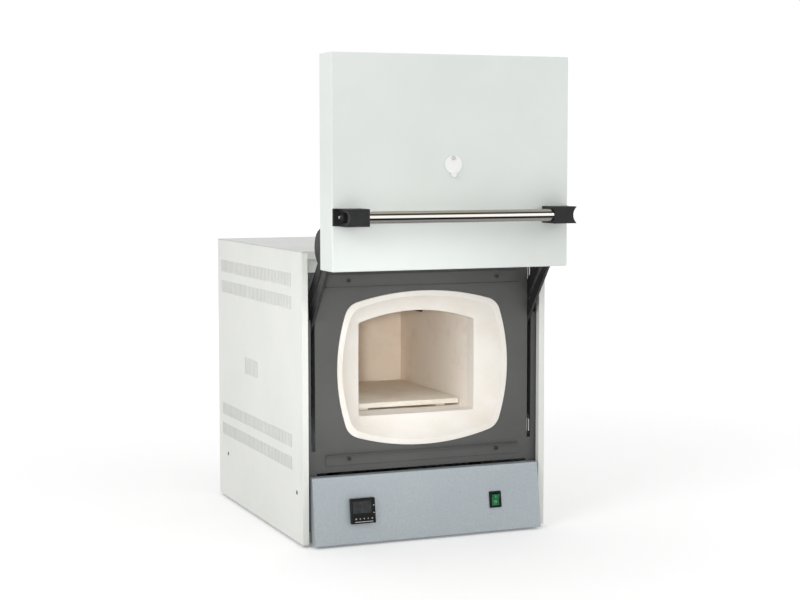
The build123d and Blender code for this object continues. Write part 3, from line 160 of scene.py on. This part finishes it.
class Finish:
    """One procedural material and the few node steps that all finishes share."""

    def __init__(self, colour, roughness, metallic=0.0, specular=0.5):
        self.material = bpy.data.materials.new("finish")
        self.material.use_nodes = True
        self.tree = self.material.node_tree
        self.nodes = self.tree.nodes
        self.links = self.tree.links
        self.shader = self.nodes["Principled BSDF"]
        self.shader.inputs["Base Color"].default_value = colour
        self.shader.inputs["Roughness"].default_value = roughness
        self.shader.inputs["Metallic"].default_value = metallic
        self.shader.inputs["Specular IOR Level"].default_value = specular
        self.place = self.nodes.new("ShaderNodeTexCoord").outputs["Object"]
        self.normal = None

    def stretched(self, scale):
        """Object coordinates scaled by a different amount on each axis."""
        mapping = self.nodes.new("ShaderNodeMapping")
        mapping.inputs["Scale"].default_value = scale
        self.links.new(self.place, mapping.inputs["Vector"])
        return mapping.outputs["Vector"]

    def noise(self, scale, detail=3.0, rough=0.55, vector=None):
        """Fractal noise over the object's own coordinates; its scale is per metre."""
        texture = self.nodes.new("ShaderNodeTexNoise")
        texture.inputs["Scale"].default_value = scale
        texture.inputs["Detail"].default_value = detail
        texture.inputs["Roughness"].default_value = rough
        self.links.new(vector or self.place, texture.inputs["Vector"])
        return texture.outputs["Fac"]

    def spread(self, value, low, high, start=0.35, end=0.65):
        """A value mapped to a range, by default from the middle of the noise."""
        return mapped(self.tree, value, start, end, low, high)

    def blend(self, share, first, second):
        """A colour between two colours, each a colour or a socket."""
        mix = self.nodes.new("ShaderNodeMix")
        mix.data_type = "RGBA"
        colour_inputs = [socket for socket in mix.inputs if socket.type == "RGBA"]
        for socket, colour in zip(colour_inputs, (first, second)):
            if isinstance(colour, tuple):
                socket.default_value = colour
            else:
                self.links.new(colour, socket)
        self.links.new(share, mix.inputs["Factor"])
        return [socket for socket in mix.outputs if socket.type == "RGBA"][0]

    def colour(self, socket):
        """Base colour from a socket."""
        self.links.new(socket, self.shader.inputs["Base Color"])

    def roughness(self, socket):
        """Roughness from a socket."""
        self.links.new(socket, self.shader.inputs["Roughness"])

    def round_edges(self, radius):
        """Edges that catch the light as a folded or moulded edge does."""
        bevel = self.nodes.new("ShaderNodeBevel")
        bevel.samples = EDGE_SAMPLES
        bevel.inputs["Radius"].default_value = radius
        self.normal = bevel.outputs["Normal"]
        self.links.new(self.normal, self.shader.inputs["Normal"])

    def bump(self, height, strength, distance):
        """Relief from a height value, on top of any relief so far."""
        bump = self.nodes.new("ShaderNodeBump")
        bump.inputs["Strength"].default_value = strength
        bump.inputs["Distance"].default_value = distance
        self.links.new(height, bump.inputs["Height"])
        if self.normal:
            self.links.new(self.normal, bump.inputs["Normal"])
        self.normal = bump.outputs["Normal"]
        self.links.new(self.normal, self.shader.inputs["Normal"])


def enamel(colour, shade, roughness=0.42, peel=0.16):
    """Powder coat: faint cloudiness and an orange-peel skin."""
    finish = Finish(colour, roughness)
    finish.round_edges(0.9 * MM)
    cloud = finish.noise(5.0, detail=4.0)
    finish.colour(finish.blend(finish.spread(cloud, 0.0, 1.0), colour, shade))
    finish.roughness(finish.spread(finish.noise(60.0), roughness - 0.05, roughness + 0.06))
    finish.bump(finish.noise(1400.0, detail=2.0), strength=peel, distance=0.12 * MM)
    return finish.material


def metallic_enamel():
    """Blue-grey structured coat with fine metal flake."""
    base = srgb(168, 177, 182)
    finish = Finish(base, 0.42, metallic=0.35)
    finish.round_edges(0.9 * MM)
    flake = finish.noise(900.0, rough=0.8)
    flecks = finish.spread(flake, 0.0, 1.0, start=0.3, end=0.7)
    tone = finish.blend(flecks, srgb(138, 148, 155), srgb(198, 205, 208))
    cloud = finish.spread(finish.noise(7.0), 0.0, 0.25)
    finish.colour(finish.blend(cloud, tone, srgb(160, 170, 176)))
    finish.roughness(finish.spread(flake, 0.36, 0.5, start=0.3, end=0.7))
    finish.bump(finish.noise(1500.0, rough=0.7), strength=0.35, distance=0.2 * MM)
    return finish.material


def fibre_ceramic():
    """Vacuum-formed ivory fibre, smooth with soft mottling and a faint felt."""
    light = srgb(243, 239, 233)
    finish = Finish(light, 0.86, specular=0.25)
    finish.round_edges(1.6 * MM)
    mottle = finish.spread(finish.noise(11.0, detail=5.0), 0.0, 1.0)
    tone = finish.blend(mottle, light, srgb(236, 230, 221))
    specks = finish.spread(finish.noise(420.0), 0.0, 0.4, start=0.6, end=0.75)
    finish.colour(finish.blend(specks, tone, srgb(214, 202, 186)))
    finish.bump(finish.noise(26.0), strength=0.3, distance=1.2 * MM)
    finish.bump(finish.noise(900.0, detail=4.0, rough=0.7), strength=0.25, distance=0.25 * MM)
    return finish.material


def fired_ceramic(near, far):
    """Fired ceramic with painted shade, darker from the mouth to the rear of the chamber."""
    finish = Finish(near, 0.9, specular=0.2)
    finish.round_edges(1.2 * MM)
    split = finish.nodes.new("ShaderNodeSeparateXYZ")
    finish.links.new(finish.place, split.inputs["Vector"])
    # Painted shade: the colour goes from near at the mouth to far at the rear of the chamber
    painted_shade_depth = finish.spread(split.outputs["Y"], 0.0, 1.0, start=collar_back, end=chamber_back)
    tone = finish.blend(painted_shade_depth, near, far)
    blotches = finish.noise(14.0, detail=5.0, rough=0.65)
    stain = finish.spread(blotches, 0.0, 0.4, start=0.5, end=0.75)
    finish.colour(finish.blend(stain, tone, srgb(216, 190, 164)))
    finish.bump(finish.noise(70.0, detail=4.0, rough=0.6), strength=0.22, distance=0.8 * MM)
    finish.bump(finish.noise(1100.0, rough=0.7), strength=0.3, distance=0.25 * MM)
    return finish.material


def board(light, dark):
    """Fibrous insulation board."""
    finish = Finish(light, 0.95, specular=0.15)
    fibres = finish.stretched(FIBRE_RUN)
    long_fibre = finish.noise(60.0, detail=5.0, rough=0.7, vector=fibres)
    finish.colour(finish.blend(finish.spread(long_fibre, 0.0, 1.0), light, dark))
    finish.bump(long_fibre, strength=0.5, distance=0.8 * MM)
    return finish.material


def metal_lines(finish, grain):
    """Fine lines in metal, drawn out by an amount on each axis."""
    return finish.noise(300.0, detail=4.0, rough=0.7, vector=finish.stretched(grain))


def brushed(colour, roughness, grain):
    """Metal with fine lines, along one axis or even all round."""
    finish = Finish(colour, roughness, metallic=1.0)
    finish.round_edges(0.5 * MM)
    lines = metal_lines(finish, grain)
    finish.roughness(finish.spread(lines, roughness - 0.05, roughness + 0.1))
    shade = tuple(GRAIN_SHADE * channel for channel in colour[:3]) + (1.0,)
    finish.colour(finish.blend(finish.spread(lines, 0.0, 1.0), colour, shade))
    finish.bump(lines, strength=0.12, distance=0.05 * MM)
    return finish.material


# Painted reflection and highlight: light and dark bands round the handle tube, set by which way its surface faces;
# place from its underside to its top, and colour
PAINTED_REFLECTION_BANDS = (
    (0.26, srgb(140, 136, 132)),
    (0.31, srgb(14, 13, 12)),
    (0.43, srgb(18, 17, 16)),
    (0.48, srgb(248, 246, 240)),
    (0.64, srgb(252, 250, 246)),
    (0.69, srgb(40, 34, 26)),
    (0.77, srgb(58, 52, 44)),
    (0.83, srgb(150, 143, 132)),
)


def tube_with_painted_reflection():
    """Polished steel with painted reflection: the light and dark bands that a round bright surface shows, painted
    into its colour.
    """
    finish = Finish(srgb(214, 210, 204), 0.16, metallic=1.0)
    facing = finish.nodes.new("ShaderNodeTexCoord").outputs["Normal"]
    split = finish.nodes.new("ShaderNodeSeparateXYZ")
    finish.links.new(facing, split.inputs["Vector"])
    # Painted reflection and highlight: the colour runs through dark and light bands from the tube's underside to
    # its top
    ramp = finish.nodes.new("ShaderNodeValToRGB")
    stops = ramp.color_ramp.elements
    stops[0].color = srgb(150, 146, 142)
    stops[1].color = srgb(176, 170, 160)
    for position, colour in PAINTED_REFLECTION_BANDS:
        stops.new(position).color = colour
    height = finish.spread(split.outputs["Z"], 0.0, 1.0, start=-1.0, end=1.0)
    finish.links.new(height, ramp.inputs["Fac"])
    finish.colour(ramp.outputs["Color"])
    lines = metal_lines(finish, ALONG_X)
    finish.roughness(finish.spread(lines, 0.12, 0.22))
    finish.bump(lines, strength=0.06, distance=0.05 * MM)
    return finish.material


def zinc_sheet():
    """Galvanised sheet with large soft spangles."""
    light = srgb(178, 181, 184)
    finish = Finish(light, 0.45, metallic=0.85)
    finish.round_edges(0.5 * MM)
    cells = finish.nodes.new("ShaderNodeTexVoronoi")
    cells.inputs["Scale"].default_value = 85.0
    finish.links.new(finish.place, cells.inputs["Vector"])
    distance = cells.outputs["Distance"]
    shade = finish.spread(distance, 0.0, 1.0, start=0.1, end=0.8)
    finish.colour(finish.blend(shade, light, srgb(150, 154, 158)))
    finish.roughness(finish.spread(distance, 0.38, 0.55, start=0.0, end=0.8))
    return finish.material


def plastic(colour, shade, roughness=0.5, grain=0.35, specular=0.3):
    """Moulded plastic with a fine spark-eroded grain."""
    finish = Finish(colour, roughness, specular=specular)
    finish.round_edges(0.7 * MM)
    finish.colour(finish.blend(finish.spread(finish.noise(40.0), 0.0, 1.0), colour, shade))
    finish.roughness(finish.spread(finish.noise(300.0), roughness - 0.06, roughness + 0.08))
    finish.bump(finish.noise(2600.0, detail=2.0), strength=grain, distance=0.08 * MM)
    return finish.material


def smoked_window():
    """Glossy display window with a faint haze."""
    finish = Finish(srgb(36, 39, 40), 0.12, specular=0.3)
    finish.round_edges(0.4 * MM)
    haze = finish.spread(finish.noise(90.0, detail=2.0), 0.0, 1.0)
    finish.colour(finish.blend(haze, srgb(34, 37, 38), srgb(52, 56, 56)))
    finish.roughness(finish.spread(finish.noise(500.0), 0.1, 0.18))
    return finish.material


def lit_green():
    """Translucent green switch plastic, lit a little from behind."""
    finish = Finish(srgb(0, 84, 46), 0.2, specular=0.3)
    finish.round_edges(0.8 * MM)
    glow = finish.spread(finish.noise(160.0, detail=2.0), 0.0, 1.0)
    finish.colour(finish.blend(glow, srgb(0, 66, 36), srgb(2, 106, 62)))
    finish.roughness(finish.spread(finish.noise(800.0), 0.16, 0.26))
    finish.shader.inputs["Emission Color"].default_value = srgb(0, 190, 90)
    finish.shader.inputs["Emission Strength"].default_value = 0.05
    finish.shader.inputs["Coat Weight"].default_value = 0.2
    return finish.material


# One finish for each material slot of the record, then those of the fittings and of single nodes
MATERIALS = {
    "light_enamel": enamel(srgb(232, 233, 228), srgb(226, 228, 222)),
    "grey_enamel": enamel(srgb(208, 209, 205), srgb(202, 204, 199)),
    "door_enamel": enamel(srgb(230, 235, 231), srgb(224, 230, 225)),
    "dark_enamel": enamel(srgb(84, 84, 83), srgb(77, 77, 76), roughness=0.55, peel=0.3),
    "panel_enamel": metallic_enamel(),
    "fibre_ceramic": fibre_ceramic(),
    # Painted shade darkens both ceramics towards the rear of the chamber
    "fired_ceramic": fired_ceramic(srgb(251, 245, 237), srgb(245, 231, 214)),
    "hearth_ceramic": fired_ceramic(srgb(250, 246, 236), srgb(236, 222, 204)),
    "insulation_board": board(srgb(236, 232, 222), srgb(220, 214, 200)),
    "galvanised_sheet": zinc_sheet(),
    "bright_steel": brushed(srgb(208, 205, 200), roughness=0.2, grain=ALONG_X),
    "pin_steel": brushed(srgb(58, 58, 58), roughness=0.4, grain=EVEN),
    "screw_steel": brushed(srgb(74, 74, 74), roughness=0.35, grain=EVEN),
    "resistance_wire": brushed(srgb(82, 66, 54), roughness=0.6, grain=EVEN),
    "black_plastic": plastic(srgb(34, 34, 35), srgb(25, 25, 26)),
    "key_plastic": plastic(srgb(22, 23, 24), srgb(17, 18, 19), roughness=0.4, grain=0.15),
    "display_window": smoked_window(),
    "green_plastic": lit_green(),
    "cream_plastic": plastic(srgb(222, 216, 196), srgb(212, 205, 184)),
    "rubber": plastic(srgb(38, 38, 38), srgb(30, 30, 30), roughness=0.8, grain=0.6),
    # Print on the keys; on the controller this pale paint is also a bar of painted highlight
    "legend_and_highlight_paint": plastic(srgb(206, 208, 206), srgb(190, 193, 191), roughness=0.5, grain=0.1),
    "mark_green": plastic(srgb(120, 214, 170), srgb(104, 198, 152), roughness=0.4, grain=0.1),
    # Painted shade: flat black crosses stand for the screw recesses
    "recess_painted_shade": plastic(srgb(16, 16, 16), srgb(10, 10, 10), roughness=0.7, grain=0.1),
    "white_enamel": enamel(srgb(250, 250, 248), srgb(246, 246, 244)),
    # Dark paint of the links, made darker still with painted shade
    "link_enamel_and_shade": enamel(srgb(38, 38, 38), srgb(31, 31, 31), roughness=0.55, peel=0.3),
    # Handle tube with painted reflection and highlight bands
    "tube_with_painted_reflection": tube_with_painted_reflection(),
    "instrument_black": plastic(
        srgb(12, 12, 13), srgb(8, 8, 9), roughness=0.4, grain=0.1, specular=0.2
    ),
}
for finish_name, material in MATERIALS.items():
    material.name = finish_name

# Nodes whose finish differs from the rest of their slot
OWN_FINISH = {
    "handle_tube": "tube_with_painted_reflection",
    "sight_cover": "white_enamel",
    "controller_housing": "instrument_black",
    "rocker_housing": "instrument_black",
    # The links' finish is their dark paint and painted shade
    "guide_link_left": "link_enamel_and_shade",
    "guide_link_right": "link_enamel_and_shade",
    "lift_arm_left": "link_enamel_and_shade",
    "lift_arm_right": "link_enamel_and_shade",
}


def dress_cad():
    """Give every CAD node its own finish, or else that of its material slot."""
    for row in frame["record"]["subparts"]:
        node = nodes[row["node"]]
        finish = OWN_FINISH.get(row["node"], row["material_slot"])
        node.data.materials.clear()
        node.data.materials.append(MATERIALS[finish])


def surface_place(node, aim, out):
    """Axes where a line through aim meets a node: X to the right, Y up and Z out."""
    owner = nodes[node]
    turn = owner.matrix_world.inverted()
    start = turn @ (aim + AIM_FROM * out)
    hit, place, normal, _face = owner.ray_cast(start, turn.to_3x3() @ -out)
    if not hit:
        raise ValueError(f"no surface of {node} there")
    place = owner.matrix_world @ place
    normal = (owner.matrix_world.to_3x3() @ normal).normalized()
    up = (UP - normal * UP.dot(normal)).normalized()
    axes = Matrix((up.cross(normal), up, normal)).transposed().to_4x4()
    return Matrix.Translation(place) @ axes


def middle_of(node):
    """Centre of a node's box."""
    low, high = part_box(node)
    return (low + high) / 2


def add_prism(mesh, outline, low, high, place):
    """Closed prism over an outline, in millimetres along the place's own axes."""
    rings = [
        [mesh.verts.new(place @ Vector((x * MM, y * MM, level * MM))) for x, y in outline]
        for level in (low, high)
    ]
    mesh.faces.new(rings[0][::-1])
    mesh.faces.new(rings[1])
    for index, corner in enumerate(rings[0]):
        after = (index + 1) % len(outline)
        mesh.faces.new((corner, rings[0][after], rings[1][after], rings[1][index]))


def add_turned(mesh, profile, place):
    """Closed ring turned round the place's Z from a profile of radii and heights."""
    rows = []
    for step in range(ROUND_STEPS):
        turn = 2 * math.pi * step / ROUND_STEPS
        across, along = math.cos(turn) * MM, math.sin(turn) * MM
        rows.append([
            mesh.verts.new(place @ Vector((radius * across, radius * along, height * MM)))
            for radius, height in profile
        ])
    for step, here in enumerate(rows):
        there = rows[(step + 1) % ROUND_STEPS]
        for index, corner in enumerate(here):
            after = (index + 1) % len(profile)
            mesh.faces.new((corner, here[after], there[after], there[index]))


def polygon(corners, radius, turn=90.0):
    """Regular outline with one corner at the given angle."""
    angles = [math.radians(turn + 360 * corner / corners) for corner in range(corners)]
    return [(radius * math.cos(angle), radius * math.sin(angle)) for angle in angles]


def bar_outline(width, height):
    """Rectangle with cut corners, round its own middle."""
    across, up, cut = width / 2, height / 2, min(width, height) / 4
    return [
        (cut - across, -up), (across - cut, -up), (across, cut - up), (across, up - cut),
        (across - cut, up), (cut - across, up), (-across, up - cut), (-across, cut - up),
    ]


def cross_outline(reach, half):
    """Outline of a cross with arms of a reach and a half width."""
    quarter = [(reach, -half), (reach, half), (half, half)]
    outline = []
    for across, along in ((1, 0), (0, 1), (-1, 0), (0, -1)):
        outline += [(x * across - y * along, x * along + y * across) for x, y in quarter]
    return outline


def fitting(name, body, finish, build):
    """A small piece with its own mesh, riding on a body."""
    mesh = bmesh.new()
    build(mesh)
    bmesh.ops.recalc_face_normals(mesh, faces=mesh.faces[:])
    data = bpy.data.meshes.new(name)
    mesh.to_mesh(data)
    mesh.free()
    data.materials.append(MATERIALS[finish])
    piece = bpy.data.objects.new(name, data)
    bpy.context.scene.collection.objects.link(piece)
    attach(piece, body)


def loose_parts(node):
    """Middle of each separate solid of a node."""
    mesh = bmesh.new()
    mesh.from_mesh(nodes[node].data)
    bmesh.ops.remove_doubles(mesh, verts=mesh.verts[:], dist=WELD)
    waiting = set(mesh.verts)
    middles = []
    while waiting:
        island = {waiting.pop()}
        open_ends = list(island)
        while open_ends:
            vertex = open_ends.pop()
            for edge in vertex.link_edges:
                other = edge.other_vert(vertex)
                if other not in island:
                    island.add(other)
                    open_ends.append(other)
        waiting -= island
        places = [nodes[node].matrix_world @ vertex.co for vertex in island]
        lows = Vector([min(place[axis] for place in places) for axis in range(3)])
        highs = Vector([max(place[axis] for place in places) for axis in range(3)])
        middles.append((lows + highs) / 2)
    mesh.free()
    return sorted(middles, key=tuple)


def add_key_legends():
    """A raised symbol on each key: a dot, arrows left, down and up, and a square."""
    symbols = (
        polygon(DOT_CORNERS, DOT_RADIUS),
        polygon(3, ARROW_RADIUS, 180.0),
        polygon(3, ARROW_RADIUS, 270.0),
        polygon(3, ARROW_RADIUS, 90.0),
        polygon(4, SQUARE_RADIUS, 45.0),
    )
    for number, outline in enumerate(symbols, 1):
        key = f"controller_key_{number}"
        place = surface_place(key, middle_of(key), panel_out)
        fitting(
            f"key_{number}_legend", f"key_{number}", "legend_and_highlight_paint",
            lambda mesh: add_prism(mesh, outline, SUNK, LEGEND_RISE, place),
        )


def add_controller_highlight_and_marks():
    """A pale bar of painted highlight under the keys, and two pale marks at the right of the window."""
    low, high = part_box("controller_housing")
    middle = middle_of("controller_housing")
    highlight_width = (high.x - low.x) / MM - 2 * HIGHLIGHT_INSET

    def add_bar(mesh, x, level, size):
        aim = Vector((x, middle.y, low.z + level * MM))
        place = surface_place("controller_housing", aim, panel_out)
        add_prism(mesh, bar_outline(*size), SUNK, HIGHLIGHT_AND_MARK_RISE, place)

    def build(mesh):
        # Painted highlight: a pale bar along the housing's lower edge, under the keys
        add_bar(mesh, middle.x, HIGHLIGHT_LEVEL, (highlight_width, HIGHLIGHT_HEIGHT))
        for level in PALE_MARK_LEVELS:
            add_bar(mesh, high.x - PALE_MARK_INSET * MM, level, PALE_MARK_SIZE)

    fitting("controller_highlight_and_marks", "casing", "legend_and_highlight_paint", build)


def add_rocker_marks():
    """On and off symbols, raised on the switch."""
    low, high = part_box("rocker")
    middle = middle_of("rocker")
    ring = (
        (OFF_MARK_OUTER, SUNK),
        (OFF_MARK_OUTER, ROCKER_MARK_RISE),
        (OFF_MARK_INNER, ROCKER_MARK_RISE),
        (OFF_MARK_INNER, SUNK),
    )

    def mark_place(z):
        return surface_place("rocker", Vector((middle.x, middle.y, z)), panel_out)

    def build(mesh):
        on_place = mark_place(high.z - ROCKER_MARK_INSET * MM)
        add_prism(mesh, bar_outline(*ON_MARK_SIZE), SUNK, ROCKER_MARK_RISE, on_place)
        add_turned(mesh, ring, mark_place(low.z + ROCKER_MARK_INSET * MM))

    fitting("rocker_marks", "rocker", "mark_green", build)


def add_screw_recess_shade():
    """Flat dark crosses of painted shade on the heads of the clamp screws, standing for their recesses."""

    def build(mesh):
        outline = cross_outline(RECESS_REACH, RECESS_HALF)
        for middle in loose_parts("clamp_screws"):
            place = surface_place("clamp_screws", middle, FORWARD)
            add_prism(mesh, outline, SUNK, RECESS_RISE, place)

    fitting("clamp_screw_recess_shade", "casing", "recess_painted_shade", build)


def add_bracket_screws():
    """Domed socket screws that hold the handle brackets, seen in their pockets."""
    for side in ("left", "right"):
        bracket = f"handle_bracket_{side}"
        low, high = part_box(bracket)
        middle = middle_of(bracket)
        outside = low.x if side == "left" else high.x
        aim = Vector(((outside + middle.x) / 2, middle.y, middle.z))
        place = surface_place(bracket, aim, FORWARD)
        fitting(
            f"bracket_screw_{side}", "door", "bright_steel",
            lambda mesh: add_turned(mesh, BRACKET_SCREW, place),
        )


def add_camera():
    """The photograph's viewpoint."""
    forward = Vector((
        math.sin(CAMERA_YAW) * math.cos(CAMERA_PITCH),
        math.cos(CAMERA_YAW) * math.cos(CAMERA_PITCH),
        -math.sin(CAMERA_PITCH),
    ))
    camera_data = bpy.data.cameras.new("camera")
    camera_data.sensor_width = SENSOR_WIDTH
    camera_data.lens = FOCAL_PIXELS / IMAGE_WIDTH * SENSOR_WIDTH
    camera = bpy.data.objects.new("camera", camera_data)
    bpy.context.scene.collection.objects.link(camera)
    aim = forward.to_track_quat("-Z", "Y").to_matrix().to_4x4()
    roll = Matrix.Rotation(CAMERA_ROLL, 4, "Z")
    place = Matrix.Translation((CAMERA_X, case_front - CAMERA_AHEAD, CAMERA_Z))
    camera.matrix_world = place @ aim @ roll
    bpy.context.scene.camera = camera


def aimed_light(name, kind, place, target, power):
    """A lamp that looks from its place at a target."""
    data = bpy.data.lights.new(name, kind)
    data.energy = power
    light = bpy.data.objects.new(name, data)
    bpy.context.scene.collection.objects.link(light)
    light.location = place
    light.rotation_mode = "QUATERNION"
    light.rotation_quaternion = (Vector(target) - Vector(place)).to_track_quat("-Z", "Y")
    return data


def add_lamps():
    """Three softboxes, and a narrow beam through the mouth of the muffle."""
    for name, (place, side, power) in LAMPS.items():
        softbox = aimed_light(name, "AREA", place, LAMP_TARGET, power)
        softbox.shape = "SQUARE"
        softbox.size = side
    muffle = middle_of("muffle_tube")
    beam = aimed_light("chamber_light", "SPOT", CHAMBER_LAMP_PLACE, muffle, CHAMBER_LIGHT)
    beam.spot_size = math.radians(CHAMBER_BEAM)
    beam.spot_blend = CHAMBER_BEAM_BLEND
    beam.shadow_soft_size = CHAMBER_LAMP_RADIUS


def seen_strength(tree, unseen, seen):
    """One strength for light that falls on things, another for rays that show a surface."""
    path = tree.nodes.new("ShaderNodeLightPath")
    shown = path.outputs["Is Camera Ray"]
    for kind in ("Is Glossy Ray", "Is Transmission Ray"):
        either = tree.nodes.new("ShaderNodeMath")
        either.operation = "MAXIMUM"
        tree.links.new(shown, either.inputs[0])
        tree.links.new(path.outputs[kind], either.inputs[1])
        shown = either.outputs["Value"]
    return mapped(tree, shown, 0.0, 1.0, unseen, seen)


def backdrop_material():
    """White to the camera and in reflections, with the object's own soft shadow."""
    material = bpy.data.materials.new("studio_floor")
    material.use_nodes = True
    tree = material.node_tree
    shader = tree.nodes["Principled BSDF"]
    shader.inputs["Base Color"].default_value = (FLOOR_SHADE, FLOOR_SHADE, FLOOR_SHADE, 1.0)
    shader.inputs["Roughness"].default_value = FLOOR_ROUGHNESS
    shader.inputs["Emission Color"].default_value = WHITE
    place = tree.nodes.new("ShaderNodeTexCoord")
    reach = tree.nodes.new("ShaderNodeVectorMath")
    reach.operation = "LENGTH"
    tree.links.new(place.outputs["Object"], reach.inputs[0])
    lift = mapped(tree, reach.outputs["Value"], LIFT_START, LIFT_END, NEAR_LIFT, FAR_LIFT)
    shown_lift = tree.nodes.new("ShaderNodeMath")
    shown_lift.operation = "MULTIPLY"
    tree.links.new(lift, shown_lift.inputs[0])
    tree.links.new(seen_strength(tree, 0.0, 1.0), shown_lift.inputs[1])
    tree.links.new(shown_lift.outputs["Value"], shader.inputs["Emission Strength"])
    return material


def add_studio():
    """White surroundings and a pale floor."""
    world = bpy.data.worlds.new("studio")
    world.use_nodes = True
    tree = world.node_tree
    background = tree.nodes["Background"]
    background.inputs["Color"].default_value = WHITE
    tree.links.new(seen_strength(tree, WORLD_LIGHT, 1.0), background.inputs["Strength"])
    bpy.context.scene.world = world

    bpy.ops.mesh.primitive_plane_add(size=FLOOR_SIZE, location=(0.0, 0.0, 0.0))
    floor = bpy.context.object
    floor.name = "studio_floor"
    floor.data.materials.append(backdrop_material())


dress_cad()
add_key_legends()
add_controller_highlight_and_marks()
add_rocker_marks()
add_screw_recess_shade()
add_bracket_screws()
add_camera()
add_studio()
add_lamps()
bpy.context.scene.view_settings.view_transform = "Standard"
